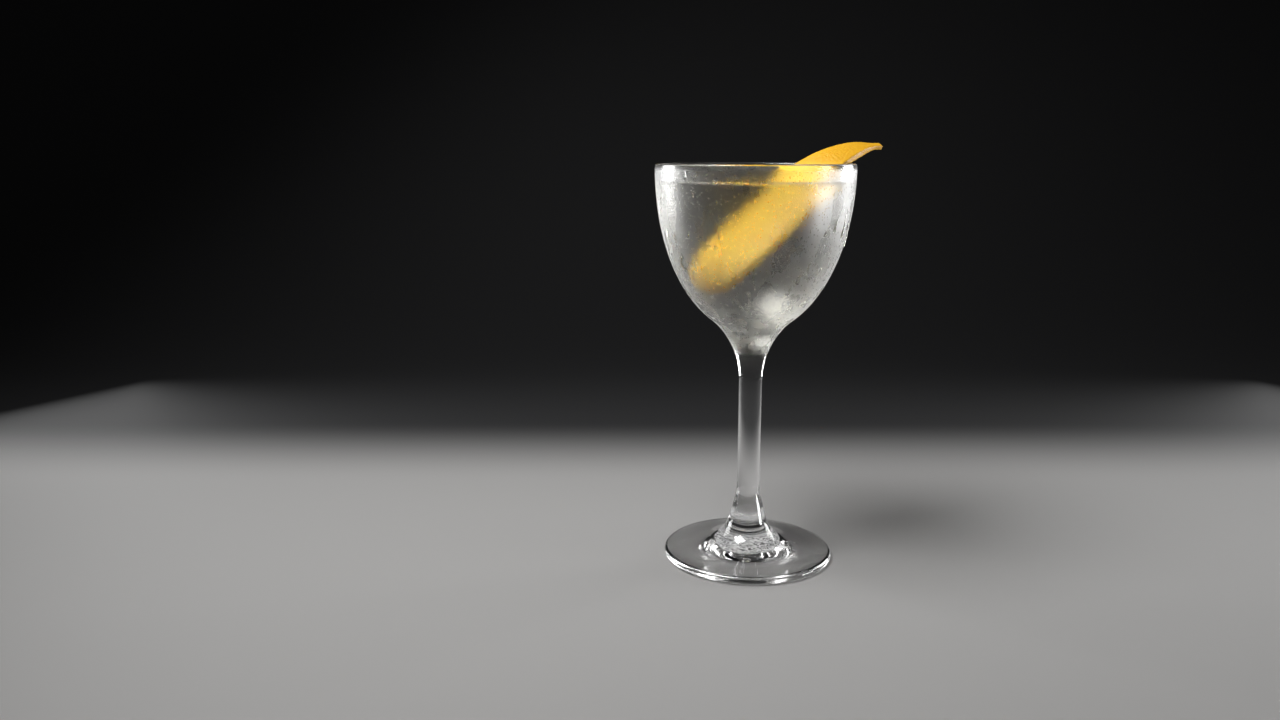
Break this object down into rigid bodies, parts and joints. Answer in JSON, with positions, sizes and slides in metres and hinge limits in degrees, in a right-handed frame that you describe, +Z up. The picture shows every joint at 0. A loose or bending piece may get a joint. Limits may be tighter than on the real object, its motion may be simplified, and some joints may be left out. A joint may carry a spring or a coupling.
{
  "type": "martini cocktail",
  "caption": "Clear martini in a small stemmed cocktail glass, chilled and misted outside, with a wide strip of lemon peel lying in the drink and over the rim.",
  "frame": {"origin": "middle of the flat ring under the foot, on the plane that it stands on", "axes": "+Z up along the stem; -Y is the front, where the peel's lower end rests; the peel climbs towards +X and +Y and juts out past the rim on +X"},
  "size_m": [0.0858, 0.0732, 0.1582],
  "materials": {
    "glass": "clear blown glass, the bowl misted outside by fine condensation",
    "drink": "clear, still liquid",
    "lemon_peel": "waxy lemon zest with a soft cream pith underneath"
  },
  "bodies": {
    "root": {"glass": "glass", "drink": "drink", "lemon_peel": "lemon_peel"}
  },
  "joints": []
}
